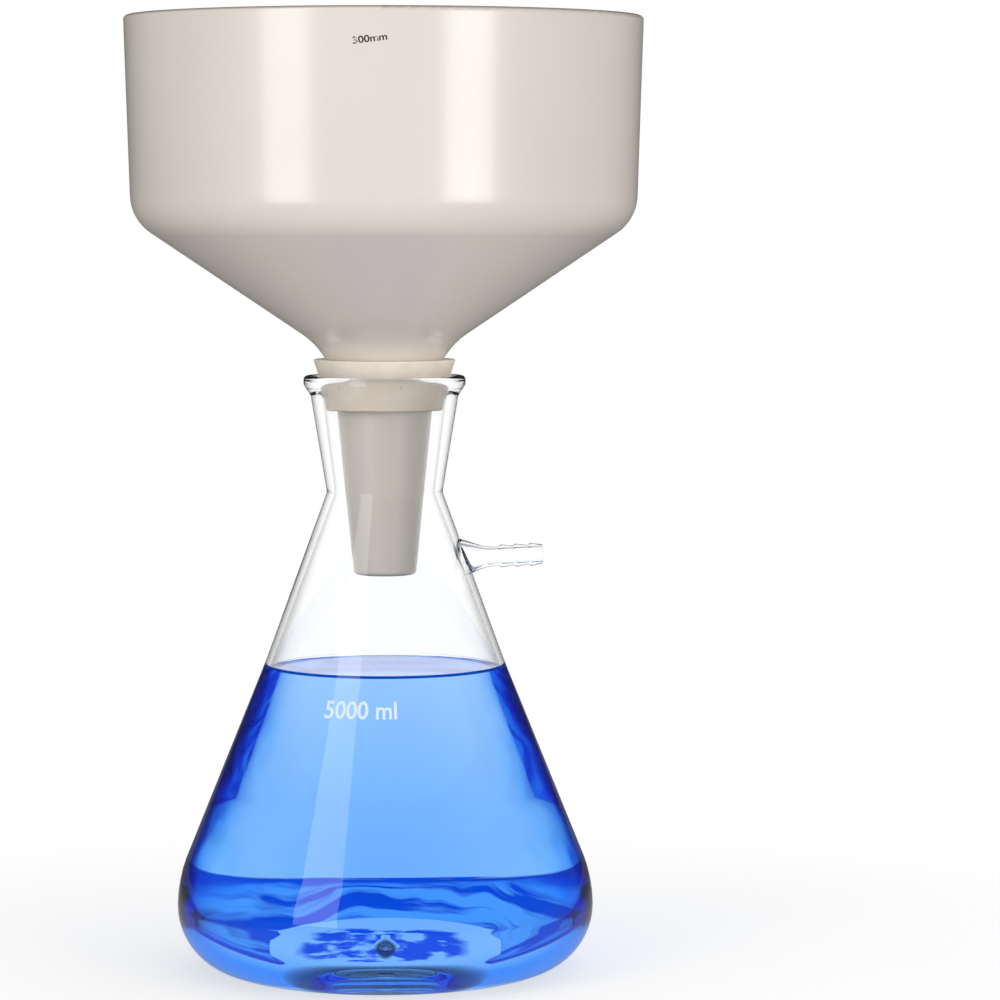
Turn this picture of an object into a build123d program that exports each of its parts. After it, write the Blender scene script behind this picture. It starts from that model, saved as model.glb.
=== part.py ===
from build123d import *

# A suction filtration set as it stands on the bench: a one-piece porcelain Buchner funnel
# pushed into a flared rubber stopper, the stopper pushed into the mouth of a conical
# filtering flask, and dyed water standing in the flask.
#
# Millimetres, +Z up. The origin is on the flask's axis in the plane that it stands on, and
# the side arm points along +X.

import os
from math import atan2, cos, hypot, pi, radians, sin, tan

# ---- Filtering flask: blown borosilicate, one piece with its side arm ----
# The outside follows straight lines between these levels, blended where they meet.
flask_height = 347.5
body_diameter = 242.5
mid_cone_height = 181.4
mid_cone_diameter = 138.8
neck_height = 67.7  # from the waist to the top of the lip
waist_diameter = 67.2

heel_radius = 38.5
cone_foot_rise = 15.0  # above the heel, to where the cone would meet the body's side
cone_foot_radius = 67.0
mid_cone_radius = 420.0
waist_outer_radius = 5.0
waist_inner_radius = 13.5

# Glass thickness, measured level except for the floor's
body_wall = 3.4
waist_wall = 4.7
neck_wall = 5.7  # at the top of the neck, round the mouth
floor_thickness = 5.6
heel_thickening = 1.5  # the blown corner is thicker than the wall

# The push-up under the floor leaves a flat ring for the flask to stand on.
push_up_height = 3.4
push_up_diameter = 124.0
push_up_ramp = 7.5  # level length of the slope down to the standing ring
pontil_button_diameter = 15.4
pontil_button_height = 2.4

# Fire-polished bead round the mouth, which swells out of the neck below it
lip_overhang = 4.1  # of the bead beyond the neck
lip_height = 5.2
lip_round = 2.4
lip_swell_height = 6.3
lip_swell_radius = 5.8
mouth_round = 4.8

# Side arm: a flared root fused to the wall, a plain tube, then the serrated hose end
arm_drop = 38.5  # of its axis below the waist, where that leaves the wall
arm_tilt = 3.0
arm_length = 44.25  # along its axis, outside the wall
arm_tube_diameter = 11.2
arm_bore_diameter = 8.6
arm_root_diameter = 20.0  # of the flare where its axis leaves the wall
arm_root_bore = 14.5
arm_root_length = 12.0  # of the flare, outside the wall
arm_fusion_fillet = 2.5
barb_count = 3
barb_pitch = 8.5
barb_crest_diameter = 13.4
barb_rise_length = 1.3
barb_valley_diameter = 11.3
arm_tip_chamfer = 0.8

# ---- Rubber stopper: a flared ring that grips the mouth below its top edge ----
stopper_height = 28.5
stopper_grip_diameter = 74.0
stopper_top_flare = 4.4  # of the top edge beyond the grip
stopper_grip_depth = 13.5  # of the grip below the stopper's top face
stopper_foot_clearance = 1.4  # between the stopper's lower edge and the neck
stopper_proud = 9.4  # of the stopper above the flask's lip
stopper_edge = 0.6
mouth_gap = 0.2  # left between the stopper and the glass

# ---- Buchner funnel: glazed porcelain, its perforated plate fired in one with the bowl ----
rim_diameter = 300.0
funnel_wall = 5.8
bowl_height = 117.3  # from the shoulder's corner to the rim
bowl_draft = 1.85
cone_height = 77.6  # from the stem's corner to the shoulder's corner
stem_length = 128.5  # from the stem's corner to the tip
stem_top_diameter = 61.7
stem_taper = 5.64
stem_wall = 4.8
cone_wall = 6.8
shoulder_radius = 27.0
throat_radius = 43.3
rim_round = 2.6
tip_round = 2.8
tip_inner_round = 1.2
throat_rise = 3.2  # of the stem's corner above the stopper's top face
stem_gap = 0.2  # left between the stem and the stopper

plate_rise = 10.6  # of the plate's upper face above the shoulder's corner
plate_thickness = 8.0
plate_corner_round = 4.0
hole_diameter = 4.0
hole_pitch = 19.0  # from ring to ring, and close to that along each ring
holes_in_first_ring = 6
hole_edge_land = 13.0  # least distance from the wall to a hole's centre

# ---- Dyed water ----
water_level = 177.4
water_gap = 0.2  # left between the water and the glass
meniscus_radius = 2.3
meniscus_film = 0.4

# ---- Levels that follow ----
cone_foot_height = heel_radius + cone_foot_rise
waist_height = flask_height - neck_height
arm_height = waist_height - arm_drop
stopper_top = flask_height + stopper_proud
stopper_bottom = stopper_top - stopper_height
grip_height = stopper_top - stopper_grip_depth
throat_height = stopper_top + throat_rise
tip_height = throat_height - stem_length
shoulder_height = throat_height + cone_height
rim_height = shoulder_height + bowl_height
plate_top = shoulder_height + plate_rise
plate_bottom = plate_top - plate_thickness

# ---- Radii that follow ----
mouth_radius = stopper_grip_diameter / 2 + mouth_gap
neck_top_radius = mouth_radius + neck_wall
lip_radius = neck_top_radius + lip_overhang


def turned(corners, radii):
    """The solid made by turning an outline of (radius, height) corners round Z."""
    outline = FilletPolyline(*corners, radius=radii, close=True)
    return revolve(Plane.XZ * make_face(outline), Axis.Z)


def along(line, height):
    """Radius at a height on a line through two (radius, height) points, or past its ends."""
    (r0, z0), (r1, z1) = line
    return r0 + (r1 - r0) * (height - z0) / (z1 - z0)


def ramp_round(width, height):
    """Radius that rounds both ends of a slope and leaves a tenth of it straight."""
    slope = atan2(height, width)
    return 0.9 * hypot(width, height) / (2 * tan(slope / 2))


def circles_at(solid, height):
    """A solid's round edges in one level plane, the smallest first."""
    rings = solid.edges().filter_by(GeomType.CIRCLE)
    level = [e for e in rings if abs(e.center().Z - height) < 0.01]
    return sorted(level, key=lambda e: e.radius)


# ------------------------------------------------------------------ filtering flask
cone_foot = (body_diameter / 2, cone_foot_height)
mid_cone = (mid_cone_diameter / 2, mid_cone_height)
waist = (waist_diameter / 2, waist_height)
inner_foot = (cone_foot[0] - body_wall, cone_foot_height)
inner_mid = (mid_cone[0] - body_wall, mid_cone_height)
inner_waist = (waist[0] - waist_wall, waist_height)
neck_bore = (inner_waist, (mouth_radius, grip_height))


def flask_outside():
    """The flask as if it were solid glass, without its side arm."""
    lip_bottom = flask_height - lip_height
    corners = [
        (0, 0),
        (body_diameter / 2, 0),
        cone_foot,
        mid_cone,
        waist,
        (neck_top_radius, lip_bottom - lip_swell_height),
        (lip_radius, lip_bottom),
        (lip_radius, flask_height),
        (0, flask_height),
    ]
    radii = [0, heel_radius, cone_foot_radius, mid_cone_radius, waist_outer_radius]
    radii += [lip_swell_radius, lip_round, lip_round, 0]
    ring_inner = push_up_diameter / 2 + push_up_ramp
    push_up = turned(
        [
            (0, -push_up_height),
            (ring_inner, -push_up_height),
            (ring_inner, 0),
            (push_up_diameter / 2, push_up_height),
            (0, push_up_height),
        ],
        [0, 0, 0, ramp_round(push_up_ramp, push_up_height), 0],
    )
    return turned(corners, radii) - push_up


def flask_cavity(inset):
    """The space inside the flask, kept clear of the glass by inset."""
    level_inset = inset / cos(radians(22))  # the cone's lean, so never less than inset
    floor = floor_thickness + inset
    corners = [
        (0, floor + push_up_height),
        (push_up_diameter / 2, floor + push_up_height),
        (push_up_diameter / 2 + push_up_ramp, floor),
        (inner_foot[0] - level_inset, floor),
        (inner_foot[0] - level_inset, cone_foot_height),
        (inner_mid[0] - level_inset, mid_cone_height),
        (inner_waist[0] - level_inset, waist_height),
        (along(neck_bore, flask_height) - level_inset, flask_height),
        (0, flask_height),
    ]
    ramp = ramp_round(push_up_ramp, push_up_height)
    corner = heel_radius - body_wall - heel_thickening - inset
    foot = cone_foot_radius - body_wall
    radii = [0, ramp, ramp, corner, foot, mid_cone_radius, waist_inner_radius, 0, 0]
    return turned(corners, radii) - pontil_button(floor + push_up_height, inset)


def pontil_button(floor_level, inset):
    """The low glass button in the middle of the floor, a cap of a ball."""
    half = pontil_button_diameter / 2
    ball = (half**2 + pontil_button_height**2) / (2 * pontil_button_height)
    return Pos(0, 0, floor_level + pontil_button_height - ball) * Sphere(ball)


def mouth_flare():
    """What rounding the mouth's inner edge takes away: a ring with a quarter-round face."""
    inner, outer = mouth_radius - 2, mouth_radius + mouth_round
    low, high = flask_height - mouth_round, flask_height + 1
    arc_middle = (outer - mouth_round * sin(pi / 4), low + mouth_round * (sin(pi / 4)))
    outline = Polyline((mouth_radius, low), (inner, low), (inner, high), (outer, high))
    outline += Polyline((outer, high), (outer, flask_height))
    outline += ThreePointArc((outer, flask_height), arc_middle, (mouth_radius, low))
    return revolve(Plane.XZ * make_face(outline), Axis.Z)


def arm_plane():
    """The plane whose X runs out along the side arm from where its axis leaves the wall."""
    start = (along((mid_cone, waist), arm_height), 0, arm_height)
    out = (cos(radians(arm_tilt)), 0, sin(radians(arm_tilt)))
    return Plane(origin=start, x_dir=out, z_dir=(0, -1, 0))


def spun_on_arm(corners, radii):
    """The solid made by turning (distance, radius) corners about the side arm's axis."""
    plane = arm_plane()
    face = plane * make_face(FilletPolyline(*corners, radius=radii, close=True))
    return revolve(face, Axis(plane.origin, plane.x_dir))


def side_arm():
    tube = arm_tube_diameter / 2
    barbs_start = arm_length - barb_count * barb_pitch
    flare_start = arm_root_diameter - tube  # as far inside the wall as outside it
    corners = [(-arm_root_length, 0), (-arm_root_length, flare_start)]
    corners += [(arm_root_length, tube), (barbs_start, tube)]
    radii = [0, 0, arm_root_length / 2, 0]
    for barb in range(barb_count):
        start = barbs_start + barb * barb_pitch
        last = barb == barb_count - 1
        corners.append((start + barb_rise_length, barb_crest_diameter / 2))
        corners.append((start + barb_pitch, barb_valley_diameter / 2))
        radii += [barb_rise_length / 2, arm_tip_chamfer if last else 0]
    return spun_on_arm(corners + [(arm_length, 0)], radii + [0])


def side_arm_bore():
    bore = arm_bore_diameter / 2
    corners = [
        (-arm_root_length, 0),
        (-arm_root_length, arm_root_bore - bore),
        (arm_root_length, bore),
        (arm_length, bore),
        (arm_length, 0),
    ]
    return spun_on_arm(corners, [0, 0, arm_root_length / 2, 0, 0])


def filtering_flask():
    glass = flask_outside() + side_arm()
    # the seam where the arm leaves the cone is the only freeform edge
    glass = fillet(glass.edges().filter_by(GeomType.BSPLINE), arm_fusion_fillet)
    return glass - flask_cavity(0) - mouth_flare() - side_arm_bore()


# ------------------------------------------------------------------ Buchner funnel
rim = (rim_diameter / 2, rim_height)
shoulder = (rim[0] - bowl_height * tan(radians(bowl_draft)), shoulder_height)
throat = (stem_top_diameter / 2, throat_height)
tip = (throat[0] - stem_length * tan(radians(stem_taper)), tip_height)
rim_edge = min(rim_round, 0.45 * funnel_wall)  # the wall limits the rounding of its rim


def funnel_outside(grow=0.0):
    """The funnel as if it were solid, with its side carried out level by grow."""
    side = [(r + grow, z) for r, z in (tip, throat, shoulder, rim)]
    corners = [(0, tip_height), *side, (0, rim_height)]
    return turned(corners, [0, tip_round, throat_radius, shoulder_radius, rim_edge, 0])


def bowl_space():
    """The filling space above the plate."""
    inside = ((shoulder[0] - funnel_wall, shoulder[1]), (rim[0] - funnel_wall, rim[1]))
    corners = [(0, plate_top), (along(inside, plate_top), plate_top), inside[1], (0, rim_height)]
    return turned(corners, [0, plate_corner_round, 0, 0])


def draining_space():
    """The cone and the stem's bore under the plate."""
    lean = (shoulder[0] - throat[0]) / cone_height
    level_wall = cone_wall * (1 + lean**2) ** 0.5
    cone = ((throat[0] - level_wall, throat[1]), (shoulder[0] - level_wall, shoulder[1]))
    bore = ((tip[0] - stem_wall, tip[1]), (throat[0] - stem_wall, throat[1]))
    # the height at which the cone's inside and the bore meet
    meet = throat_height + (level_wall - stem_wall) / (lean - tan(radians(stem_taper)))
    corners = [
        (0, tip_height),
        bore[0],
        (along(bore, meet), meet),
        (along(cone, plate_bottom), plate_bottom),
        (0, plate_bottom),
    ]
    return turned(corners, [0, 0, throat_radius - stem_wall, plate_corner_round, 0])


def plate_holes():
    """Straight holes: one in the middle, then rings that each have six more than the last."""
    face_radius = shoulder[0] - funnel_wall
    rings = int((face_radius - hole_edge_land) // hole_pitch)
    drill = Pos(0, 0, (plate_top + plate_bottom) / 2) * Cylinder(
        hole_diameter / 2, 2 * plate_thickness
    )
    holes = [drill]
    for ring in range(1, rings + 1):
        count = ring * holes_in_first_ring
        for k in range(count):
            holes.append(Rot(Z=360 * k / count) * Pos(ring * hole_pitch, 0, 0) * drill)
    return holes


def buchner_funnel():
    porcelain = funnel_outside() - bowl_space() - draining_space()
    porcelain = fillet(circles_at(porcelain, rim_height)[0], rim_edge)
    porcelain = fillet(circles_at(porcelain, tip_height)[0], tip_inner_round)
    return porcelain - plate_holes()


# ------------------------------------------------------------------ rubber stopper
def rubber_stopper():
    grip = (stopper_grip_diameter / 2, grip_height)
    top = (grip[0] + stopper_top_flare, stopper_top)
    bottom = (along(neck_bore, stopper_bottom) - stopper_foot_clearance, stopper_bottom)
    outline = Polyline(bottom, (0, stopper_bottom), (0, stopper_top), top)
    outline += ThreePointArc(top, grip, bottom)
    rubber = revolve(Plane.XZ * make_face(outline), Axis.Z)
    rubber = chamfer(rubber.edges().filter_by(GeomType.CIRCLE), stopper_edge)
    return rubber - funnel_outside(grow=stem_gap)


# ------------------------------------------------------------------ dyed water
def dyed_water():
    """The lower part of the flask's space, dished at the top where it climbs the glass."""
    below_mid = water_level < mid_cone_height
    side = (inner_foot, inner_mid) if below_mid else (inner_mid, inner_waist)
    lean = (side[0][0] - side[1][0]) / (side[1][1] - side[0][1])
    edge = along(side, water_level) - water_gap - meniscus_film
    above = 3 * meniscus_radius
    air = turned(
        [
            (0, water_level),
            (edge, water_level),
            (edge - lean * above, water_level + above),
            (0, water_level + above),
        ],
        [0, meniscus_radius, 0, 0],
    )
    climb = 0.8 * meniscus_radius
    below = Pos(0, 0, (water_level + climb) / 2) * Cylinder(body_diameter, water_level + climb)
    return (flask_cavity(water_gap) & below) - air


# ------------------------------------------------------------------ write
pieces = {
    "filtering_flask": filtering_flask,
    "rubber_stopper": rubber_stopper,
    "buchner_funnel": buchner_funnel,
    "dyed_water": dyed_water,
}
os.makedirs("parts", exist_ok=True)
for name, make in pieces.items():
    solid = make()
    export_step(solid, f"parts/{name}.step")
    print(name, len(solid.solids()), "solid,", round(solid.volume / 1000, 1), "cm3")
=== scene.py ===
# %% [markdown]
# # A Buchner funnel on its filtering flask
#
# A vacuum filter has four pieces: a glazed porcelain funnel with a perforated plate, a bored
# rubber stopper, a thick-walled glass flask with a side arm for the pump's hose, and here some
# dyed water in the flask. The funnel and the stopper come from the CAD model as they are and
# only get their finishes. The flask and the water are modelled again below, because glass
# bends what is seen through it, and that shows every flat in a coarse surface.

from math import acos, atan2, ceil, cos, hypot, pi, radians, sin, tan

import bmesh
import bpy
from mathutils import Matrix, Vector


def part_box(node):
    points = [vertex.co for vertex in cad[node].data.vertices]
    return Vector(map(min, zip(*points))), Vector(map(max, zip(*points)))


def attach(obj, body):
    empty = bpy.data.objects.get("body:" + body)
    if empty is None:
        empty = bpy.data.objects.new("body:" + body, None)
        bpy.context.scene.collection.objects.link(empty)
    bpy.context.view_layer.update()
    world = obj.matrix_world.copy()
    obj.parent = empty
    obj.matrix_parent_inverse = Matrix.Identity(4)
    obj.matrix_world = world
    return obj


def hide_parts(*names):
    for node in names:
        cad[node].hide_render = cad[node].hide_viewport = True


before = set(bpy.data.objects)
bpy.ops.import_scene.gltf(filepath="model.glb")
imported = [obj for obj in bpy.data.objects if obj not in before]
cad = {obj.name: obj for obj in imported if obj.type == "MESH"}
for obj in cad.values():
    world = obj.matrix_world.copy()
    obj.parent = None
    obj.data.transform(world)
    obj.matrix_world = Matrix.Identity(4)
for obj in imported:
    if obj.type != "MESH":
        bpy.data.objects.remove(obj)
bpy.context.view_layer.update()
for name, node in sorted(cad.items()):
    print(name, len(node.data.polygons), "faces")

# %% [markdown]
# ## Lengths
#
# Blender works in metres, and glassware is measured in millimetres. Every outline below is
# written in millimetres and scaled once, when it is drawn. The flask's height and width are read
# from the CAD model, so the new mesh can't grow out of it.

# %% Sizes of the flask
mm = 0.001
flask_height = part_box("filtering_flask")[1].z / mm
body_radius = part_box("filtering_flask")[1].x / mm
heel_round = 38.5
cone_foot_height = 53.5
cone_foot_round = 67.0
mid_cone = (69.4, 181.4)
mid_cone_round = 420.0
waist = (33.6, 279.8)
waist_round = 5.0
waist_round_inside = 13.5
neck_radius = 42.9
mouth_radius = 37.2
lip_radius = 47.0
lip_height = 5.2
lip_swell_height = 6.3
lip_swell_round = 5.8
lip_round = 2.4
mouth_round = 4.8
body_wall = 3.4
waist_wall = 4.7
floor_thickness = 5.6
heel_thickening = 1.5
push_up_height = 15.5
push_up_radius = 59.0
push_up_ramp = 5.5
button_radius = 5.7
button_height = 2.2
grip_height = 343.4  # where the stopper bears on the mouth
water_level = 177.4
water_climb = 1.84  # how far the water's edge climbs the glass
print("flask", round(flask_height, 1), "mm high,", round(2 * body_radius, 1), "mm wide")

# %% [markdown]
# ## Drawing an outline and turning it
#
# Blown and turned things are round, so each is drawn as half of its outline and spun round an
# axis, as a potter's template is. The outline starts as a plane merged into one point. That
# point is extruded from corner to corner, and each corner is then rounded with a vertex bevel.
# A bevel is told how far along the lines its round begins, so the helper works that out from
# the radius wanted and the angle that the outline turns through.


# %% Drawing helpers
bevel_step = radians(6)  # the most that a rounded corner turns at each of its points
smooth_angle = radians(28)  # edges that turn less than this are shaded smooth
merge_distance = 1e-6


def select_points(piece, wanted):
    """In edit mode, selects the points whose place passes the test, and no others."""
    bpy.ops.mesh.select_all(action="DESELECT")
    shape = bmesh.from_edit_mesh(piece.data)
    for point in shape.verts:
        point.select = wanted(point.co)
    shape.select_flush(True)
    bmesh.update_edit_mesh(piece.data)


class Lathe:
    """An axis to turn round, with the plane through it that outlines are drawn in."""

    def __init__(self, start=(0, 0, 0), along=(0, 0, 1), out=(1, 0, 0)):
        self.start, self.along, self.out = Vector(start), Vector(along), Vector(out)

    def place(self, radius, distance):
        """The place of an outline's point, in metres."""
        return (self.start + self.along * distance + self.out * radius) * mm


flask_axis = Lathe()


def round_corner(piece, before, corner, after, radius):
    """Bevels one corner of an outline into an arc of this radius."""
    into, out = (corner - before).normalized(), (after - corner).normalized()
    turn = acos(max(-1.0, min(1.0, into.dot(out))))
    select_points(piece, lambda place: (place - corner).length < 2 * merge_distance)
    bpy.ops.mesh.bevel(
        affect="VERTICES",
        offset_type="OFFSET",
        offset=radius * mm * tan(turn / 2),
        segments=max(3, ceil(turn / bevel_step)),
    )


def draw(name, corners, lathe=flask_axis):
    """A new object that is one line through (radius, distance, rounding) corners."""
    bpy.ops.object.select_all(action="DESELECT")
    bpy.ops.mesh.primitive_plane_add(size=mm)
    piece = bpy.context.object
    piece.name = piece.data.name = name
    places = [lathe.place(radius, distance) for radius, distance, _ in corners]
    bpy.ops.object.mode_set(mode="EDIT")
    bpy.ops.mesh.merge(type="CENTER")
    bpy.ops.transform.translate(value=places[0])
    for here, there in zip(places, places[1:]):
        bpy.ops.mesh.extrude_region_move(TRANSFORM_OT_translate={"value": there - here})
    for i in range(1, len(corners) - 1):
        if corners[i][2]:
            round_corner(piece, places[i - 1], places[i], places[i + 1], corners[i][2])
    return piece


def spin(piece, steps, lathe=flask_axis):
    """Turns an outline all the way round, and closes its seam and its poles."""
    bpy.ops.mesh.select_all(action="SELECT")
    bpy.ops.mesh.spin(steps=steps, angle=2 * pi, center=lathe.start * mm, axis=lathe.along)
    bpy.ops.mesh.select_all(action="SELECT")
    bpy.ops.mesh.remove_doubles(threshold=merge_distance)
    bpy.ops.mesh.normals_make_consistent(inside=False)
    bpy.ops.object.mode_set(mode="OBJECT")
    bpy.ops.object.shade_smooth_by_angle(angle=smooth_angle)
    print(piece.name, len(piece.data.polygons), "faces")
    return piece


def turned(name, corners, steps, lathe=flask_axis):
    """A closed round piece: an outline from axis to axis, spun."""
    return spin(draw(name, corners, lathe), steps, lathe)


def on_line(low, high, height):
    """Radius at a height on the line through two (radius, height) points."""
    return low[0] + (high[0] - low[0]) * (height - low[1]) / (high[1] - low[1])


# %% [markdown]
# ## The flask's glass, outside
#
# The outline runs from the middle of the underside, over the push-up that keeps a flask from
# rocking, round the heel, up the cone to the waist, up the short flared neck and over the lip.
# This first solid has no inside yet: a solid body is easy to weld a side arm onto.

# %% The solid body
cone_foot = (body_radius, cone_foot_height)
slope = atan2(push_up_height, push_up_ramp)
ramp_share = 0.9  # of the push-up's edge that its two rounds take up
ramp_round = ramp_share * hypot(push_up_ramp, push_up_height) / (2 * tan(slope / 2))
lip_bottom = flask_height - lip_height
glass_steps = 192


def body_outline():
    """The corners of the flask's outside."""
    return [
        (0, push_up_height, 0),
        (push_up_radius, push_up_height, ramp_round),
        (push_up_radius + push_up_ramp, 0, ramp_round),
        (body_radius, 0, heel_round),
        (*cone_foot, cone_foot_round),
        (*mid_cone, mid_cone_round),
        (*waist, waist_round),
        (neck_radius, lip_bottom - lip_swell_height, lip_swell_round),
        (lip_radius, lip_bottom, lip_round),
        (lip_radius, flask_height, lip_round),
        (0, flask_height, 0),
    ]


flask = turned("flask_glass", body_outline(), glass_steps)

# %% [markdown]
# ## The side arm
#
# The glassblower draws the arm from the hot wall, so it flares where it leaves the cone, and
# presses serrations into its end to grip a hose. Its outline is spun round an axis of its own,
# which tips up a little. Its inner end lies inside the body, where the two melt into one.

# %% Turn the side arm and its bore
arm_height = 241.3
arm_tilt = radians(3)
arm_length = 44.25
arm_tube_radius = 5.6
arm_bore_radius = 4.3
arm_root_radius = 10.0
arm_root_bore_radius = 7.25
arm_root_length = 12.0
barb_count = 3
barb_pitch = 8.5
barb_rise = 1.3
barb_crest_radius = 6.7
barb_valley_radius = 5.65
barb_round = 0.3
arm_tip_round = 0.8
arm_steps = 64
cut_past = 1.0  # how far a cutting piece sticks out of what it cuts
bore_flare = 0.4
arm_axis = Lathe(
    start=(on_line(mid_cone, waist, arm_height), 0, arm_height),
    along=(cos(arm_tilt), 0, sin(arm_tilt)),
    out=(-sin(arm_tilt), 0, cos(arm_tilt)),
)


def arm_outline():
    """The corners of the arm's outside, as (radius, distance along the arm, rounding)."""
    flare_start = 2 * arm_root_radius - arm_tube_radius
    corners = [(0, -arm_root_length, 0), (flare_start, -arm_root_length, 0)]
    corners += [(arm_tube_radius, arm_root_length, 2 * arm_root_length)]
    start = arm_length - barb_count * barb_pitch
    corners += [(arm_tube_radius, start, barb_round)]
    for _ in range(barb_count):
        corners += [(barb_crest_radius, start + barb_rise, barb_rise / 2)]
        start += barb_pitch
        corners += [(barb_valley_radius, start, barb_round)]
    corners[-1] = (barb_valley_radius, arm_length, arm_tip_round)
    return corners + [(0, arm_length, 0)]


def bore_outline():
    """The corners of the hole through the arm, which opens out towards the flask."""
    flare_start = 2 * arm_root_bore_radius - arm_bore_radius
    return [
        (0, -arm_root_length - 2 * cut_past, 0),
        (flare_start, -arm_root_length - 2 * cut_past, 0),
        (arm_bore_radius, arm_root_length, arm_root_length),
        (arm_bore_radius, arm_length - cut_past, 0),
        (arm_bore_radius + bore_flare, arm_length + cut_past, 0),
        (0, arm_length + cut_past, 0),
    ]


arm = turned("arm_outside", arm_outline(), arm_steps, arm_axis)
bore = turned("arm_bore", bore_outline(), arm_steps, arm_axis)

# %% [markdown]
# ## The inside, and one piece of glass
#
# The flask's inside is turned as a solid of its own. Boolean modifiers then weld the arm on and
# take the inside and the bore away. Glass has to be one closed skin: a hidden wall left between
# body and arm would bend light as if there were a crack.

# %% Hollow the flask
inner_foot = (body_radius - body_wall, cone_foot_height)
inner_mid = (mid_cone[0] - body_wall, mid_cone[1])
inner_waist = (waist[0] - waist_wall, waist[1])
neck_bore = (inner_waist, (mouth_radius, grip_height))  # two points of its tapered wall
button_foot_round = 0.6
button_slope = 2 * atan2(button_height, button_radius)
button_ball = (button_radius**2 + button_height**2) / (2 * button_height)


def floor_outline(gap):
    """The floor from within, out to the wall, this far clear of the glass, or into it."""
    floor = floor_thickness + gap
    middle = floor + push_up_height
    shoulder = button_radius - button_height / tan(button_slope)
    return [
        (0, middle + button_height, 0),
        (shoulder, middle + button_height, 0.99 * button_ball),
        (button_radius, middle, button_foot_round),
        (push_up_radius, middle, ramp_round),
        (push_up_radius + push_up_ramp, floor, ramp_round),
        (inner_foot[0] - gap, floor, heel_round - body_wall - heel_thickening - gap),
        (inner_foot[0] - gap, cone_foot_height, cone_foot_round - body_wall),
    ]


def inside_outline():
    """The corners of the whole inside, from the floor up through the mouth."""
    above = flask_height + 2 * cut_past
    return floor_outline(0) + [
        (*inner_mid, mid_cone_round),
        (*inner_waist, waist_round_inside),
        (on_line(*neck_bore, above), above, 0),
        (0, above, 0),
    ]


def combine(piece, tool, operation):
    """Applies a Boolean modifier to piece and removes the tool."""
    bpy.ops.object.select_all(action="DESELECT")
    bpy.context.view_layer.objects.active = piece
    piece.select_set(True)
    modifier = piece.modifiers.new("weld_or_cut", "BOOLEAN")
    modifier.object, modifier.operation, modifier.solver = tool, operation, "EXACT"
    bpy.ops.object.modifier_apply(modifier=modifier.name)
    bpy.data.objects.remove(tool)
    print(operation.lower(), "leaves", len(piece.data.polygons), "faces")


inside = turned("flask_inside", inside_outline(), glass_steps)
combine(flask, arm, "UNION")
combine(flask, inside, "DIFFERENCE")
combine(flask, bore, "DIFFERENCE")

# %% [markdown]
# ## The fire-polished mouth
#
# The burner's flame melts the mouth's inner edge round. That edge is one loop of the mesh, so it
# is picked out by its place, at the top and at the bore's radius, and bevelled.


# %% Round the mouth
mouth_steps = 8


def round_mouth():
    """Bevels the loop where the bore meets the flat top of the lip."""
    edge, top = on_line(*neck_bore, flask_height) * mm, flask_height * mm

    def on_loop(place):
        across = hypot(place.x, place.y)
        return abs(place.z - top) < 0.01 * mm and abs(across - edge) < 0.1 * mm

    bpy.context.view_layer.objects.active = flask
    bpy.ops.object.mode_set(mode="EDIT")
    bpy.ops.mesh.select_all(action="SELECT")
    bpy.ops.mesh.remove_doubles(threshold=0.1 * merge_distance)
    select_points(flask, on_loop)
    bpy.ops.mesh.bevel(affect="EDGES", offset=mouth_round * mm, segments=mouth_steps)
    bpy.ops.object.mode_set(mode="OBJECT")
    bpy.ops.object.shade_smooth_by_angle(angle=smooth_angle)


round_mouth()
shape = bmesh.new()
shape.from_mesh(flask.data)
loose = sum(not edge.is_manifold for edge in shape.edges)
print("flask", len(shape.faces), "faces,", loose, "open edges")
shape.free()

# %% [markdown]
# ## The dyed water
#
# Water wets glass, so its edge climbs the wall. There must be no film of air between water and
# glass, or the wall would shine like a mirror. The usual way is to let the water reach a little
# way into the glass: a ray that crosses both skins then bends as it would from glass to water.
# Only over the push-up is the water held just clear, on purpose, so that the floor's middle
# mirrors and stands out from the heel.

# %% Turn the water
overlap = 0.3  # how far the water reaches into the glass
floor_film = 0.3  # how far it stays clear of the push-up
film = 0.5  # how thick its edge is where it climbs the wall
film_round = 0.3
meniscus_round = 2.6


def water_outline():
    """The corners of the water, sunk into the wall and held clear of the push-up."""
    top = water_level + water_climb
    wall = [(radius + overlap, height) for radius, height in (inner_foot, inner_mid)]
    floor = floor_outline(-overlap)
    raised = [(radius, z + overlap + floor_film, bend) for radius, z, bend in floor[:4]]
    return raised + floor[4:] + [
        (on_line(*wall, top), top, 0),
        (on_line(*wall, top) - overlap - film, top, film_round),
        (on_line(*wall, water_level) - overlap - film, water_level, meniscus_round),
        (0, water_level, 0),
    ]


water = turned("blue_water", water_outline(), glass_steps)

# %% [markdown]
# ## Nodes for the finishes
#
# A finish is a small graph of nodes. Two effects turn up in more than one finish: a soft uneven
# mottle, and rare small specks. Each is a node group with named inputs, placed in a material
# with that material's own values. First come helpers that only save typing: one makes a node,
# one links two sockets, and the rest make a node and link it in one go.


# %% Small node helpers
def add(tree, kind, inputs=None, **settings):
    """A new node of this kind, with its settings and its unlinked inputs set."""
    node = tree.nodes.new("ShaderNode" + kind)
    for name, value in settings.items():
        setattr(node, name, value)
    for name, value in (inputs or {}).items():
        node.inputs[name].default_value = value
    return node


def join(tree, out, into):
    """Links an output socket to an input socket."""
    tree.links.new(out, into)


def reckon(tree, operation, *terms):
    """A Math node's result; each term is a socket or a number."""
    node = add(tree, "Math", operation=operation)
    for socket, term in zip(node.inputs, terms):
        if isinstance(term, (int, float)):
            socket.default_value = term
        else:
            join(tree, term, socket)
    return node.outputs[0]


def object_place(tree):
    """A point's place on its object, in metres."""
    return add(tree, "TexCoord").outputs["Object"]


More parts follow.
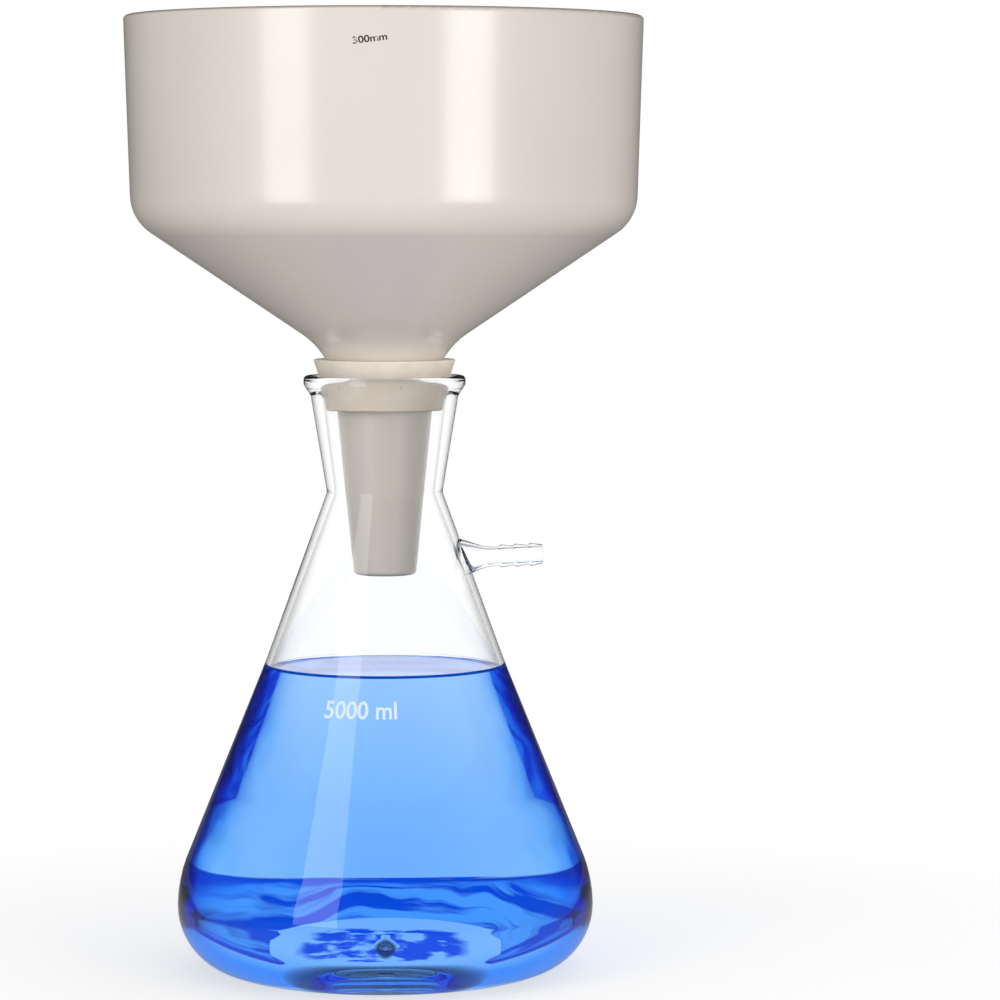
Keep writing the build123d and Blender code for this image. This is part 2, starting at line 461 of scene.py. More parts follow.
def split_vector(tree, vector):
    """The three parts of a vector socket, by their names X, Y and Z."""
    split = add(tree, "SeparateXYZ")
    join(tree, vector, split.inputs["Vector"])
    return split.outputs


def mix_shaders(tree, factor, first, second):
    """A Mix Shader node: first where the factor is 0, and second where it is 1."""
    mix = add(tree, "MixShader")
    for out, socket in zip((factor, first, second), mix.inputs):
        join(tree, out, socket)
    return mix.outputs["Shader"]


# %% [markdown]
# ### Mottle and specks
#
# The mottle is plain noise. For the specks, a Voronoi pattern splits space into cells. A speck
# is the small ball round a cell's point, and each cell's random colour says if it has one.


# %% The two shared effects
def new_group(name, inputs, outputs):
    """An empty node group with float inputs (name: value) and float outputs."""
    tree = bpy.data.node_groups.new(name, "ShaderNodeTree")
    for socket, value in inputs.items():
        made = tree.interface.new_socket(socket, in_out="INPUT", socket_type="NodeSocketFloat")
        made.default_value = value
    for socket in outputs:
        tree.interface.new_socket(socket, in_out="OUTPUT", socket_type="NodeSocketFloat")
    return tree, tree.nodes.new("NodeGroupInput"), tree.nodes.new("NodeGroupOutput")


def make_mottle():
    """Group: a soft uneven value about 0.5, from noise in the object's own space."""
    tree, start, end = new_group("mottle", {"Scale": 20.0, "Detail": 3.0}, ["Value"])
    noise = add(tree, "TexNoise", {"Roughness": 0.55})
    join(tree, object_place(tree), noise.inputs["Vector"])
    join(tree, start.outputs["Scale"], noise.inputs["Scale"])
    join(tree, start.outputs["Detail"], noise.inputs["Detail"])
    join(tree, noise.outputs[0], end.inputs["Value"])
    return tree


def make_specks():
    """Group: 1 inside small round specks that only some cells of a Voronoi pattern hold."""
    inputs = {"Scale": 100.0, "Size": 0.1, "Share": 0.1}
    tree, start, end = new_group("specks", inputs, ["Mask"])
    cells = add(tree, "TexVoronoi")
    split = add(tree, "SeparateColor")
    join(tree, object_place(tree), cells.inputs["Vector"])
    join(tree, start.outputs["Scale"], cells.inputs["Scale"])
    join(tree, cells.outputs["Color"], split.inputs["Color"])
    small = reckon(tree, "LESS_THAN", cells.outputs["Distance"], start.outputs["Size"])
    chosen = reckon(tree, "LESS_THAN", split.outputs["Red"], start.outputs["Share"])
    join(tree, reckon(tree, "MULTIPLY", small, chosen), end.inputs["Mask"])
    return tree


mottle_group = make_mottle()
specks_group = make_specks()


def use(tree, group, **inputs):
    """Places a shared group in a material, with its own values."""
    node = tree.nodes.new("ShaderNodeGroup")
    node.node_tree = group
    for name, value in inputs.items():
        node.inputs[name].default_value = value
    return node


# %% [markdown]
# ### Blends, ramps and an empty finish
#
# Most of a finish is blending: a mask says where, and two colours or numbers say what. A mask
# comes from a noise, a height or a slope, stretched by a ramp to run from 0 to 1.


# %% Blends, ramps and an empty finish
def blend(tree, factor, low, high):
    """A Mix node between two colours; a colour is a socket or a tuple of three numbers."""
    mix = add(tree, "Mix", data_type="RGBA")
    join(tree, factor, mix.inputs["Factor"])
    for side, colour in (("A", low), ("B", high)):
        socket = next(s for s in mix.inputs if s.name == side and s.type == "RGBA")
        if isinstance(colour, tuple):
            socket.default_value = (*colour, 1)
        else:
            join(tree, colour, socket)
    return next(s for s in mix.outputs if s.type == "RGBA")


def ramp(tree, value, low, high, to_low=0.0, to_high=1.0):
    """A Map Range node that takes low..high to to_low..to_high and stays inside it."""
    inputs = {"From Min": low, "From Max": high, "To Min": to_low, "To Max": to_high}
    node = add(tree, "MapRange", inputs, clamp=True)
    join(tree, value, node.inputs["Value"])
    return node.outputs["Result"]


def pick(tree, mask, otherwise, value):
    """A number that is value where mask is 1 and otherwise elsewhere; each may be a socket."""
    mix = add(tree, "Mix", data_type="FLOAT")
    join(tree, mask, mix.inputs["Factor"])
    for index, number in ((2, otherwise), (3, value)):
        if isinstance(number, float):
            mix.inputs[index].default_value = number
        else:
            join(tree, number, mix.inputs[index])
    return mix.outputs[0]


def new_finish(name, **sockets):
    """A material with one Principled shader, whose plain values are set by name."""
    material = bpy.data.materials.new(name)
    material.use_nodes = True
    tree = material.node_tree
    tree.nodes.clear()
    shader = add(tree, "BsdfPrincipled")
    for socket, value in sockets.items():
        shader.inputs[socket.replace("_", " ")].default_value = value
    out = add(tree, "OutputMaterial")
    join(tree, shader.outputs["BSDF"], out.inputs["Surface"])
    return material, tree, shader, out


def raise_surface(tree, shader, height, distance, strength=1.0):
    """Feeds the shader's Normal from a Bump node; distance is in metres."""
    bump = add(tree, "Bump", {"Distance": distance, "Strength": strength})
    join(tree, height, bump.inputs["Height"])
    join(tree, bump.outputs["Normal"], shader.inputs["Normal"])


# %% [markdown]
# ## Glazed porcelain
#
# The glaze is a warm grey-white glass over fired clay: a fairly sharp gloss over a matt body.
# It pools unevenly, so its colour and gloss drift a little, a few iron specks show through,
# and the top of the rim is a darker brown band.

# %% Porcelain finish
glaze_colour = (0.77, 0.71, 0.65)
glaze_shade = (0.72, 0.655, 0.59)
speck_colour = (0.16, 0.12, 0.09)
rim_top_brown = (0.36, 0.27, 0.20)
pooling = (0.2, 0.8)  # the part of the slow mottle that shows
glaze_roughness = (0.21, 0.29)
grain_band, grain_share = (0.45, 0.75), 0.22
rim_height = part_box("buchner_funnel")[1].z
rim_top_band, rim_top_share = (rim_height - 1.6 * mm, rim_height - 0.5 * mm), 0.85


def glazed_porcelain():
    """Warm white glaze with a slow mottle, fine grain, specks and a darker brown band at the rim's
    top.
    """
    material, tree, shader, _ = new_finish(
        "porcelain_glaze", Roughness=0.24, IOR=1.5, Coat_Weight=0.35, Coat_Roughness=0.12
    )
    slow = use(tree, mottle_group, Scale=9.0, Detail=1.5)
    fine = use(tree, mottle_group, Scale=900.0, Detail=1.0)
    specks = use(tree, specks_group, Scale=120.0, Size=0.09, Share=0.012)
    pooled = ramp(tree, slow.outputs["Value"], *pooling)
    grain = ramp(tree, fine.outputs["Value"], *grain_band, 0, grain_share)
    body = blend(tree, pooled, glaze_colour, glaze_shade)
    body = blend(tree, grain, body, glaze_shade)
    body = blend(tree, specks.outputs["Mask"], body, speck_colour)
    height = split_vector(tree, object_place(tree))["Z"]
    rim_top = ramp(tree, height, *rim_top_band, 0, rim_top_share)
    colour = blend(tree, rim_top, body, rim_top_brown)
    join(tree, colour, shader.inputs["Base Color"])
    gloss = ramp(tree, slow.outputs["Value"], *pooling, *glaze_roughness)
    join(tree, gloss, shader.inputs["Roughness"])
    raise_surface(tree, shader, slow.outputs["Value"], 0.4 * mm, 0.15)
    return material


cad["buchner_funnel"].material_slots[0].material = glazed_porcelain()

# %% [markdown]
# ## Cream rubber
#
# The stopper is natural rubber: matt, a little translucent, with fine moulding grain and a pale
# bloom where it has been handled and dusted.

# %% Rubber finish
rubber_colour = (0.88, 0.77, 0.64)
rubber_bloom = (0.92, 0.84, 0.74)
rubber_pit = (0.62, 0.49, 0.36)
bloom_band = (0.4, 0.65)


def cream_rubber():
    """Matt cream rubber with a pale bloom and a fine grain."""
    material, tree, shader, _ = new_finish(
        "stopper_rubber", Roughness=0.62, IOR=1.5, Subsurface_Weight=0.08
    )
    shader.inputs["Subsurface Scale"].default_value = 2 * mm
    bloom = use(tree, mottle_group, Scale=60.0, Detail=5.0)
    grain = use(tree, mottle_group, Scale=1500.0, Detail=2.0)
    pits = use(tree, specks_group, Scale=300.0, Size=0.1, Share=0.05)
    dusted = ramp(tree, bloom.outputs["Value"], *bloom_band)
    colour = blend(tree, dusted, rubber_colour, rubber_bloom)
    colour = blend(tree, pits.outputs["Mask"], colour, rubber_pit)
    join(tree, colour, shader.inputs["Base Color"])
    raise_surface(tree, shader, grain.outputs["Value"], 0.15 * mm, 0.5)
    return material


cad["rubber_stopper"].material_slots[0].material = cream_rubber()

# %% [markdown]
# ## Borosilicate glass
#
# Clear glass is mostly seen by its dark edges, where a ray runs a long way inside the wall and
# bends towards the dark of a room. Here that dark is painted shade: the Layer Weight node's
# Facing output is near 1 there, and it darkens the colour.
# A lamp's ray should get through to the stem and the water, but Cycles stops it at glass, so a
# Transparent shader takes over for shadow rays. Glass against water hardly mirrors, but each of
# the two skins is worked out as if air lay behind it, so under the water their gloss is tinted
# down.

# %% Glass finishes
white = (1.0, 1.0, 1.0)
# Painted shade for the edges of the glass, and the clear colour elsewhere.
glass_edge_painted_shade = (0.10, 0.105, 0.105)
glass_clear = (0.985, 0.99, 0.99)
painted_shade_from_outside = (0.66, 0.98)  # of Facing: where the painted edge shade starts and is darkest
painted_shade_from_within, painted_shade_within_share = (0.20, 0.30), 0.75
dry_band = ((water_level - 1) * mm, (water_level + 3) * mm)
wet_gloss = (0.02, 0.20, 0.60)  # water against glass hardly shines
lamp_loss = (0.95, 0.95, 0.95)  # what a lamp's light keeps at each skin of glass


def let_lamps_through(tree, shader, out, tint=white):
    """Mixes in a Transparent shader for shadow rays only."""
    path = add(tree, "LightPath")
    clear = add(tree, "BsdfTransparent", {"Color": (*tint, 1)})
    surface = mix_shaders(tree, path.outputs["Is Shadow Ray"], shader, clear.outputs["BSDF"])
    join(tree, surface, out.inputs["Surface"])


def clear_glass():
    """Clear glass with painted shade where it is seen edge on, from outside and from within."""
    material, tree, shader, out = new_finish(
        "borosilicate_glass", Roughness=0.0, IOR=1.47, Transmission_Weight=1.0
    )
    weight = add(tree, "LayerWeight", {"Blend": 0.5})
    side = add(tree, "NewGeometry")
    outside = ramp(tree, weight.outputs["Facing"], *painted_shade_from_outside)
    within = ramp(tree, weight.outputs["Facing"], *painted_shade_from_within, 0.0, painted_shade_within_share)
    dry = ramp(tree, split_vector(tree, object_place(tree))["Z"], *dry_band)
    # Painted edge shade, from outside or from within, and only above the water.
    edge = pick(tree, side.outputs["Backfacing"], outside, within)
    edge = pick(tree, dry, 0.0, edge)
    join(tree, blend(tree, edge, glass_clear, glass_edge_painted_shade), shader.inputs["Base Color"])
    wetted = pick(tree, dry, side.outputs["Backfacing"], 0.0)
    join(tree, blend(tree, wetted, white, wet_gloss), shader.inputs["Specular Tint"])
    waves = use(tree, mottle_group, Scale=35.0, Detail=1.0)
    raise_surface(tree, shader, waves.outputs["Value"], 0.3 * mm, 0.12)
    let_lamps_through(tree, shader.outputs["BSDF"], out, lamp_loss)
    return material


flask.data.materials.clear()
flask.data.materials.append(clear_glass())

# %% [markdown]
# ## Dyed water
#
# The dye takes red out first, then some green, and the more the further light travels, so the
# colour is mostly a volume and not a paint. At the edges the curved water acts as a strong lens
# that looks far to the side, into the dark of the room, and there it goes navy. An all-white
# studio has no such dark, so the skin of the water gets painted shade and painted reflections as
# well: by how far it turns away at the sides, by its slope and height on the heel, and by its
# distance from the axis on the floor. Masks choose the part of the skin, and one chain of blends
# lays the painted tints over it.

# %% Colours of the water
dye_colour = (0.01, 0.53, 1.0)
dye_density = 8.2  # per metre
side_painted_shade = (  # where the water's side turns away: facing, and the colour of its painted shade
    (0.080, white),
    (0.140, (0.74, 0.91, 1.0)),
    (0.190, (0.32, 0.72, 1.0)),
    (0.224, (0.06, 0.36, 0.94)),
    (0.240, (0.002, 0.05, 0.60)),
    (0.254, (0.0003, 0.004, 0.20)),
    (0.275, (0.0001, 0.001, 0.04)),
)
heel_painted_shade = (  # painted shade the same way at the heel, kept lighter because its thick glass gathers light
    (0.100, white),
    (0.180, (0.35, 0.75, 1.0)),
    (0.240, (0.02, 0.28, 0.95)),
    (0.330, (0.0005, 0.06, 0.75)),
)
heel_painted_dark_line = (  # painted dark line up the curve of the heel from within: how level the skin is, and its colour
    (0.475, white),
    (0.505, (0.0, 0.003, 0.18)),
    (0.535, (0.0, 0.01, 0.35)),
    (0.570, (0.02, 0.22, 0.92)),
    (0.640, (0.10, 0.45, 1.0)),
)
heel_under_painted_shade = (0.03, 0.27, 0.85)  # painted shade where the heel turns under
# Painted shade in the heel's swirls, painted reflection in the pale ring, and the colour of the
# dark painted reflections on the floor.
swirl_painted_shade, ring_painted_reflection, floor_painted_dark_reflection = (0.0, 0.015, 0.45), (0.62, 0.88, 1.0), (0.0, 0.14, 0.72)
# A painted tint on the water's surface, for the blue light that comes up through the dye, and
# painted shade on the meniscus.
surface_painted_tint, meniscus_painted_shade = (0.25, 0.72, 1.0), (0.0, 0.03, 0.30)

# %% [markdown]
# ### The floor, seen from within
#
# Through the water the floor shows painted shade and painted reflections: a swirling deep heel,
# a pale ring and a darkly mirrored middle round the button. All three are told apart by their
# distance from the axis, in metres, and a noise makes that distance wander, because blown glass
# is never quite round. The swirls are a noise that is stretched round the axis.

# %% The floor's pattern
ring_edge = (0.061, 0.066)  # from the pale ring to the heel
middle_edge = (0.032, 0.037)  # from the darkly mirrored middle to the pale ring
button_edge = (0.006, 0.0065)  # from the clean button to the stained middle
ring_wander = 0.018
swirl_band, patch_band = (0.45, 0.54), (0.47, 0.57)  # the parts of the two noises that show
swirl_stretch = (0.12, 0.12, 1)


def tones(tree, value, stops):
    """A Color Ramp node through (position, colour) stops."""
    node = add(tree, "ValToRGB")
    points = node.color_ramp.elements
    while len(points) < len(stops):
        points.new(1.0)
    for point, (position, colour) in zip(points, stops):
        point.position, point.color = position, (*colour, 1)
    join(tree, value, node.inputs["Fac"])
    return node.outputs["Color"]


def vector_math(tree, operation, *terms):
    """A Vector Math node's result; each term is a socket or three numbers."""
    node = add(tree, "VectorMath", operation=operation)
    for socket, term in zip(node.inputs, terms):
        if isinstance(term, tuple):
            socket.default_value = term
        else:
            join(tree, term, socket)
    return node.outputs["Value" if operation == "LENGTH" else "Vector"]


def swing(tree, value, width):
    """A noise about 0.5 turned into one about 0 that swings over this width."""
    return reckon(tree, "MULTIPLY_ADD", value, width, -width / 2)


def painted_floor_shade(tree, place, upright):
    """Painted shade and reflection on the floor from within: deep at the heel, pale in a ring, and
    a mask for dark painted reflections.
    """
    flat = vector_math(tree, "MULTIPLY", place, (1, 1, 0))
    from_axis = vector_math(tree, "LENGTH", flat)
    wander = use(tree, mottle_group, Scale=28.0, Detail=2.0)
    shift = swing(tree, wander.outputs["Value"], ring_wander)
    reach = reckon(tree, "ADD", from_axis, shift)
    slow = vector_math(tree, "MULTIPLY", place, swirl_stretch)
    streaks = add(tree, "TexNoise", {"Scale": 130.0, "Detail": 3.0})
    join(tree, vector_math(tree, "ADD", slow, reach), streaks.inputs["Vector"])
    swirl = ramp(tree, streaks.outputs[0], *swirl_band)
    # Painted shade in the heel's swirls, and painted reflection in the pale ring.
    heel = blend(tree, swirl, tones(tree, upright, heel_painted_dark_line), swirl_painted_shade)
    colour = blend(tree, ramp(tree, reach, *ring_edge), ring_painted_reflection, heel)
    patches = use(tree, mottle_group, Scale=75.0, Detail=4.0)
    patchy = ramp(tree, patches.outputs["Value"], *patch_band, 1.0, 0.0)
    middle = ramp(tree, reach, *middle_edge, 1.0, 0.0)
    middle = pick(tree, ramp(tree, from_axis, *button_edge), 0.0, middle)
    return colour, reckon(tree, "MULTIPLY", patchy, middle)


# %% [markdown]
# ### The water's own finish
#
# A ray that enters the water from outside gets the painted tints of its sides, heel and surface. A
# ray that meets the skin from within gets the floor's painted shade, but only low down. Dark
# painted reflections are laid over the flat floor as a tinted mirror.

# %% The water's finish
side_sway = 0.10  # how unevenly the sides' tones lie
body_band = (30 * mm, 55 * mm)  # heights at which the heel's tones give way to the sides'
floor_band = (45 * mm, 50 * mm)  # and at which the floor's pattern ends
surface_band = (100 * mm, 101 * mm)  # any height between the floor and the water's surface
climb_band = ((water_level + 0.1) * mm, (water_level + 0.4) * mm)
# How level the skin is, from 0 on an upright wall to 1 on the flat.
wall_slope = (0.6, 0.8)  # from the walls to what is more level
level_slope = (0.93, 0.97)  # from the heel's underside to what is quite level
bottom_slope = (0.46, 0.475)  # where the heel's curve starts, from within
flat_slope = (0.90, 0.95)  # where stains can lie


def blue_water():
    """Water with a blue dye that deepens with the way through it, and painted shade and
    reflections on its skin.
    """
    material, tree, shader, out = new_finish(
        "dyed_water", Roughness=0.0, IOR=1.333, Transmission_Weight=1.0
    )
    shader.inputs["Specular Tint"].default_value = (*wet_gloss, 1)
    facing = add(tree, "LayerWeight", {"Blend": 0.5}).outputs["Facing"]
    side = add(tree, "NewGeometry")
    path = add(tree, "LightPath")
    place = object_place(tree)
    height = split_vector(tree, place)["Z"]
    upright = reckon(tree, "ABSOLUTE", split_vector(tree, side.outputs["Normal"])["Z"])
    waves = use(tree, mottle_group, Scale=26.0, Detail=2.0)
    turned_away = reckon(tree, "ADD", facing, swing(tree, waves.outputs["Value"], side_sway))
    # Painted shade at the sides and the heel, a painted tint on the surface and painted shade on
    # the meniscus.
    high = tones(tree, turned_away, side_painted_shade)
    low = tones(tree, facing, heel_painted_shade)
    wall = blend(tree, ramp(tree, height, *body_band), low, high)
    level_skin = blend(tree, ramp(tree, height, *surface_band), white, surface_painted_tint)
    under = blend(tree, ramp(tree, upright, *level_slope), heel_under_painted_shade, level_skin)
    edge = blend(tree, ramp(tree, upright, *wall_slope, 1.0, 0.0), under, wall)
    edge = blend(tree, ramp(tree, height, *climb_band), edge, meniscus_painted_shade)
    first = ramp(tree, path.outputs["Transmission Depth"], 1.0, 2.0, 1.0, 0.0)
    edge = blend(tree, first, white, edge)
    # From within: the painted shade and reflection of the heel, the ring and the middle.
    above_floor = ramp(tree, height, *floor_band)
    bottom = pick(tree, above_floor, ramp(tree, upright, *bottom_slope), 0.0)
    painted_floor_colour, dark_reflection_mask = painted_floor_shade(tree, place, upright)
    within = blend(tree, bottom, white, painted_floor_colour)
    colour = blend(tree, side.outputs["Backfacing"], edge, within)
    join(tree, colour, shader.inputs["Base Color"])
    # The dark painted reflections, the lamps' way through and the dye.
    dark_reflection_mask = pick(tree, ramp(tree, upright, *flat_slope), 0.0, dark_reflection_mask)
    dark_reflection_mask = pick(tree, side.outputs["Backfacing"], 0.0, dark_reflection_mask)
    dark_reflection_mask = pick(tree, above_floor, dark_reflection_mask, 0.0)
    dark_reflection = add(tree, "BsdfAnisotropic", {"Color": (*floor_painted_dark_reflection, 1), "Roughness": 0.0})
    skin = mix_shaders(tree, dark_reflection_mask, shader.outputs["BSDF"], dark_reflection.outputs["BSDF"])
    let_lamps_through(tree, skin, out)
    dye = add(tree, "VolumeAbsorption", {"Color": (*dye_colour, 1), "Density": dye_density})
    join(tree, dye.outputs["Volume"], out.inputs["Volume"])
    return material


water.data.materials.clear()
water.data.materials.append(blue_water())

# %% [markdown]
# ## Size marks
#
# The flask and the funnel each carry a plain number for their size. A text object is made a mesh,
# cut into narrow strips so that it can bend, and then each of its points is wrapped onto the
# round wall.

# %% Wrap the numbers on
text_strip = 1.5
text_merge = 1e-4
text_weight = 0.018  # how much the letters are fattened, as a share of their size
ink_thickness = 0.02
ink_lift = 0.06  # off the wall, so that the two don't flicker
bowl_wall = ((146.2, 437.7), (149.9, 555.0))


def print_mark(name, words, size, width, azimuth, height, wall, lean=0.0, tilt=0.0):
    """Words, sized in millimetres, wrapped round a wall at an azimuth from the front."""
    bpy.ops.object.select_all(action="DESELECT")
    bpy.ops.object.text_add()
    mark = bpy.context.object
    mark.data.body, mark.data.size = words, size
    mark.data.align_x, mark.data.align_y = "CENTER", "CENTER"
    mark.data.extrude, mark.data.offset = ink_thickness, size * text_weight
    bpy.ops.object.convert(target="MESH")
    mark = bpy.context.object
    mark.name = mark.data.name = name
    bpy.ops.object.mode_set(mode="EDIT")
    reach = int(width / 2 / text_strip) + 2
    for strip in range(-reach, reach + 1):
        bpy.ops.mesh.select_all(action="SELECT")
        bpy.ops.mesh.bisect(plane_co=(strip * text_strip, 0, 0), plane_no=(1, 0, 0))
    bpy.ops.mesh.select_all(action="SELECT")
    bpy.ops.mesh.remove_doubles(threshold=text_merge)
    bpy.ops.object.mode_set(mode="OBJECT")
    drawn = max(v.co.x for v in mark.data.vertices) - min(v.co.x for v in mark.data.vertices)
    for point in mark.data.vertices:
        x = point.co.x * width / drawn
        across, up = x * cos(tilt) - point.co.y * sin(tilt), x * sin(tilt) + point.co.y * cos(tilt)
        z = height + up * cos(lean)
        radius = on_line(*wall, z) + ink_lift + point.co.z
        angle = azimuth + across / on_line(*wall, height)
        point.co = Vector((radius * sin(angle), -radius * cos(angle), z)) * mm
    print(name, len(mark.data.polygons), "faces")
    return mark


capacity_mark = print_mark(
    "capacity_mark",
    "5000 ml",
    size=14.5,
    width=41.8,
    azimuth=radians(-8.9),
    height=160.6,
    wall=(cone_foot, mid_cone),
    lean=radians(22),
)
width_mark = print_mark(
    "width_mark",
    "300mm",
    size=5.4,
    width=18.8,
    azimuth=radians(-1.4),
    height=536.8,
    wall=bowl_wall,
    tilt=radians(7),
)

# %% [markdown]
# The flask's mark is a thin fired white enamel that lets some light through. The funnel's is
# black ink under the glaze.


# %% Mark finishes
enamel_thick, enamel_thin = (0.80, 0.92, 1.0), (0.72, 0.88, 1.0)
enamel_alpha = 0.86
ink_black, ink_thin = (0.03, 0.028, 0.026), (0.12, 0.11, 0.10)


def mark_enamel():
    """Thin white enamel, uneven and partly clear."""
    material, tree, shader, _ = new_finish("white_enamel", Roughness=0.45, IOR=1.5)
    patch = use(tree, mottle_group, Scale=400.0, Detail=2.0)
    level = ramp(tree, patch.outputs["Value"], 0.35, 0.65)
    join(tree, blend(tree, level, enamel_thick, enamel_thin), shader.inputs["Base Color"])
    shader.inputs["Alpha"].default_value = enamel_alpha
    return material


def mark_ink():
    """Black printing ink with small thin spots."""
    material, tree, shader, _ = new_finish("black_ink", Roughness=0.35, IOR=1.5)
    patch = use(tree, mottle_group, Scale=1200.0, Detail=2.0)
    level = ramp(tree, patch.outputs["Value"], 0.5, 0.8)
    join(tree, blend(tree, level, ink_black, ink_thin), shader.inputs["Base Color"])
    return material


capacity_mark.data.materials.append(mark_enamel())
width_mark.data.materials.append(mark_ink())

# %% [markdown]
# ## Riding on the CAD model
#
# Each new piece rides on the root body of the CAD model, and the CAD nodes that the flask and
# the water stand in for are hidden.

# %% Ride on the root body
for piece, slot in (
    (flask, "borosilicate_glass"),
    (water, "blue_water"),
    (capacity_mark, "borosilicate_glass"),
    (width_mark, "glazed_porcelain"),
):
    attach(piece, "root")
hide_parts("filtering_flask")
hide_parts("dyed_water")

# %% [markdown]
# ## Floor and background
#
# The flask stands on a plain white floor against white. The floor takes the object's shadow near
# it, and further out it melts into the background: there it simply shows white to the camera
# and to rays that come through glass. Under the flask it lies in the object's own shadow and
# would darken the water, so it glows there, and in a gloss it hardly shows.

# %% White floor
floor_radius = 8.0
black = (0.0, 0.0, 0.0)
floor_paint = (0.66, 0.66, 0.66)
floor_glow = 0.95  # painted glow where the floor lies in the object's own shadow: under the flask, and near it as seen through its glass
floor_lift = 0.50
floor_in_gloss = (0.04, 0.12)  # how bright a gloss shows it, near the object and further out
under_flask = (0.072, 0.080)  # metres from the axis: where the glow under the flask ends
shadow_fades = (0.14, 0.55)  # where the floor melts into white
shadow_fades_in_glass = (0.115, 0.22)
behind_glass = 1.14  # a little over white, for what the glass itself takes away


def looks(tree):
    """Masks for how a ray arrives: seen at all, off a gloss, and through glass."""
    path = add(tree, "LightPath")
    glossy, through = path.outputs["Is Glossy Ray"], path.outputs["Is Transmission Ray"]
    straight = reckon(tree, "MAXIMUM", path.outputs["Is Camera Ray"], glossy)
    seen = reckon(tree, "MAXIMUM", straight, through)
    unspent = ramp(tree, path.outputs["Diffuse Depth"], 0.0, 1.0, 1.0, 0.0)
    return reckon(tree, "MULTIPLY", seen, unspent), glossy, through


def white_floor():
    """Diffuse white with a shadow near the object, plain white further out, clear from below."""
    material = bpy.data.materials.new("white_floor")
    material.use_nodes = True
    tree = material.node_tree
    tree.nodes.clear()
    seen, glossy, through = looks(tree)
    from_axis = vector_math(tree, "LENGTH", object_place(tree))
    glossy_near, glossy_far = floor_in_gloss
    # Near the object: paint that takes a shadow, and a lift.
    paint = add(tree, "BsdfDiffuse")
    join(tree, blend(tree, through, floor_paint, black), paint.inputs["Color"])
    boost = pick(tree, through, pick(tree, glossy, floor_lift, glossy_near), floor_glow)
    cavity = ramp(tree, from_axis, *under_flask, 1.0, 0.0)
    boost = reckon(tree, "MULTIPLY", seen, pick(tree, cavity, boost, floor_glow))
    lift = add(tree, "Emission", {"Color": (*white, 1)})
    join(tree, boost, lift.inputs["Strength"])
    near = add(tree, "AddShader")
    join(tree, paint.outputs["BSDF"], near.inputs[0])
    join(tree, lift.outputs["Emission"], near.inputs[1])
    # Further out: plain white.
    level = pick(tree, through, pick(tree, glossy, 1.0, glossy_far), behind_glass)
    far = add(tree, "Emission", {"Color": (*white, 1)})
    join(tree, level, far.inputs["Strength"])
    outward = ramp(tree, from_axis, *shadow_fades)
    outward = pick(tree, through, outward, ramp(tree, from_axis, *shadow_fades_in_glass))
    away = reckon(tree, "MULTIPLY", outward, seen)
    mix = mix_shaders(tree, away, near.outputs[0], far.outputs["Emission"])
    # From below it is clear.
    below = add(tree, "NewGeometry")
    clear = add(tree, "BsdfTransparent")
    sided = mix_shaders(tree, below.outputs["Backfacing"], mix, clear.outputs["BSDF"])
    out = add(tree, "OutputMaterial")
    join(tree, sided, out.inputs["Surface"])
    return material


bpy.ops.object.select_all(action="DESELECT")
bpy.ops.mesh.primitive_circle_add(vertices=96, radius=floor_radius, fill_type="NGON")
floor = bpy.context.object
floor.name = "floor"
floor.data.materials.append(white_floor())

# %% [markdown]
# ## The world's light
#
# The world adds an even base of light, weaker from the left. To the camera it is plain white.
# Through glass it is white near the horizon and darker overhead, which is what draws the dark
# lines in clear glass.

# %% World
world_left, world_right = 0.26, 0.72
glossy_light = 0.03
zenith_shade = 0.08
sky_band = (0.40, 0.90)  # how high up the world turns from white to shade
inside_light = 0.24  # for light that has already bounced inside the glass


def white_world():
    """A soft even light, seen as white near the horizon and darker overhead."""
    world = bpy.data.worlds.new("studio")
    world.use_nodes = True
    tree = world.node_tree
    tree.nodes.clear()
    back = add(tree, "Background", {"Color": (*white, 1)})
    way = split_vector(tree, add(tree, "TexCoord").outputs["Generated"])
    path = add(tree, "LightPath")
    across = ramp(tree, way["X"], -1.0, 1.0, world_left, world_right)
    height = ramp(tree, way["Z"], *sky_band, behind_glass, zenith_shade)
    bounced = ramp(tree, path.outputs["Diffuse Depth"], 0.0, 1.0)
    strength = pick(tree, path.outputs["Is Glossy Ray"], across, glossy_light)
    through = pick(tree, bounced, height, inside_light)
    strength = pick(tree, path.outputs["Is Transmission Ray"], strength, through)
    strength = pick(tree, path.outputs["Is Camera Ray"], strength, 1.0)
    join(tree, strength, back.inputs["Strength"])
    out = add(tree, "OutputWorld")
    join(tree, back.outputs["Background"], out.inputs["Surface"])
    return world


bpy.context.scene.world = white_world()

# %% [markdown]
# ## Lamps
#
# Two tall soft boxes stand left and right of the camera and leave a long soft highlight each on
# the porcelain. Glass would show both as hard bars, so they light everything but the flask and
# the water, and a third, dimmer box lights only those two and leaves one crisp bar. In a real
# studio, flags on stands keep a lamp's light off a piece. Here light linking does.


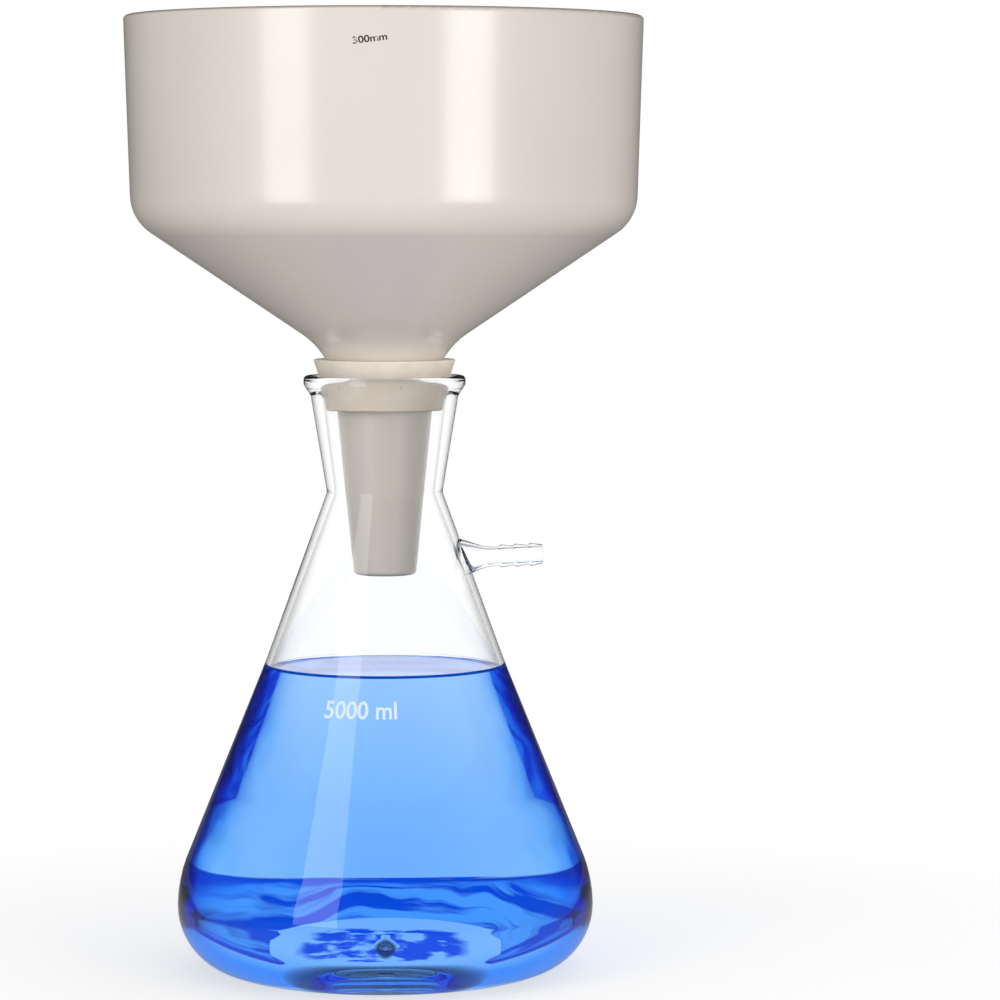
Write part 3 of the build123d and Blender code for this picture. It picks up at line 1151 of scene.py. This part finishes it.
# %% Three soft boxes
def soft_box(name, azimuth, distance, width, low, high, radiance):
    """An upright rectangular lamp that faces the axis, from height low to high in metres."""
    middle, tall = (low + high) / 2, high - low
    place = Vector((sin(azimuth) * distance, -cos(azimuth) * distance, middle))
    bpy.ops.object.light_add(type="AREA", location=place)
    lamp = bpy.context.object
    lamp.name = name
    lamp.rotation_euler = (Vector((0, 0, middle)) - place).to_track_quat("-Z", "Y").to_euler()
    lamp.data.shape, lamp.data.size, lamp.data.size_y = "RECTANGLE", width, tall
    lamp.data.energy = radiance * pi * width * tall
    lamp.visible_camera = False
    lamp.visible_transmission = False
    return lamp


def flag_off(lamp, lit_pieces):
    """Lets a lamp light these pieces only, as a flag on a stand would."""
    lit = bpy.data.collections.new(lamp.name + "_lights")
    for piece in lit_pieces:
        lit.objects.link(piece)
    lamp.light_linking.receiver_collection = lit


left_box = soft_box(
    "soft_box_left", radians(-40), distance=1.5, width=0.56, low=0.02, high=2.00, radiance=3.9
)
right_box = soft_box(
    "soft_box_right", radians(38), distance=1.6, width=0.60, low=0.02, high=0.95, radiance=5.2
)
strip_box = soft_box(
    "strip_box", radians(-36), distance=1.5, width=0.65, low=0.02, high=2.00, radiance=2.5
)
solid_pieces = (cad["buchner_funnel"], cad["rubber_stopper"], capacity_mark, width_mark, floor)
flag_off(left_box, solid_pieces)
flag_off(right_box, solid_pieces)
flag_off(strip_box, (flask, water))

# %% [markdown]
# ## Camera
#
# A long lens from two and a half metres away keeps the bowl's rim nearly flat. The camera looks
# down by four degrees and stands a little to the right, so that the object is left of the
# middle. Light bounces many times between glass and water, and each
# ray that is given up on leaves a black speck, so Cycles is allowed more bounces than usual.

# %% Camera
camera_distance = 2.5096
camera_height = 0.4548
camera_aside = 0.067
camera_pitch = radians(4.098)
lens = 155.76
sensor = 36.0
nearest, furthest = 0.05, 50.0
most_bounces, most_glossy_bounces = 32, 16

bpy.ops.object.camera_add(
    location=(camera_aside, -camera_distance, camera_height),
    rotation=(pi / 2 - camera_pitch, 0, 0),
)
camera = bpy.context.object
camera.data.lens = lens
camera.data.sensor_width = sensor
camera.data.clip_start, camera.data.clip_end = nearest, furthest
bpy.context.scene.camera = camera
cycles = bpy.context.scene.cycles
cycles.max_bounces = cycles.transmission_bounces = most_bounces
cycles.glossy_bounces = most_glossy_bounces
bpy.context.scene.view_settings.view_transform = "Standard"
print("camera", round(camera_distance, 2), "m away, lens", round(lens), "mm")
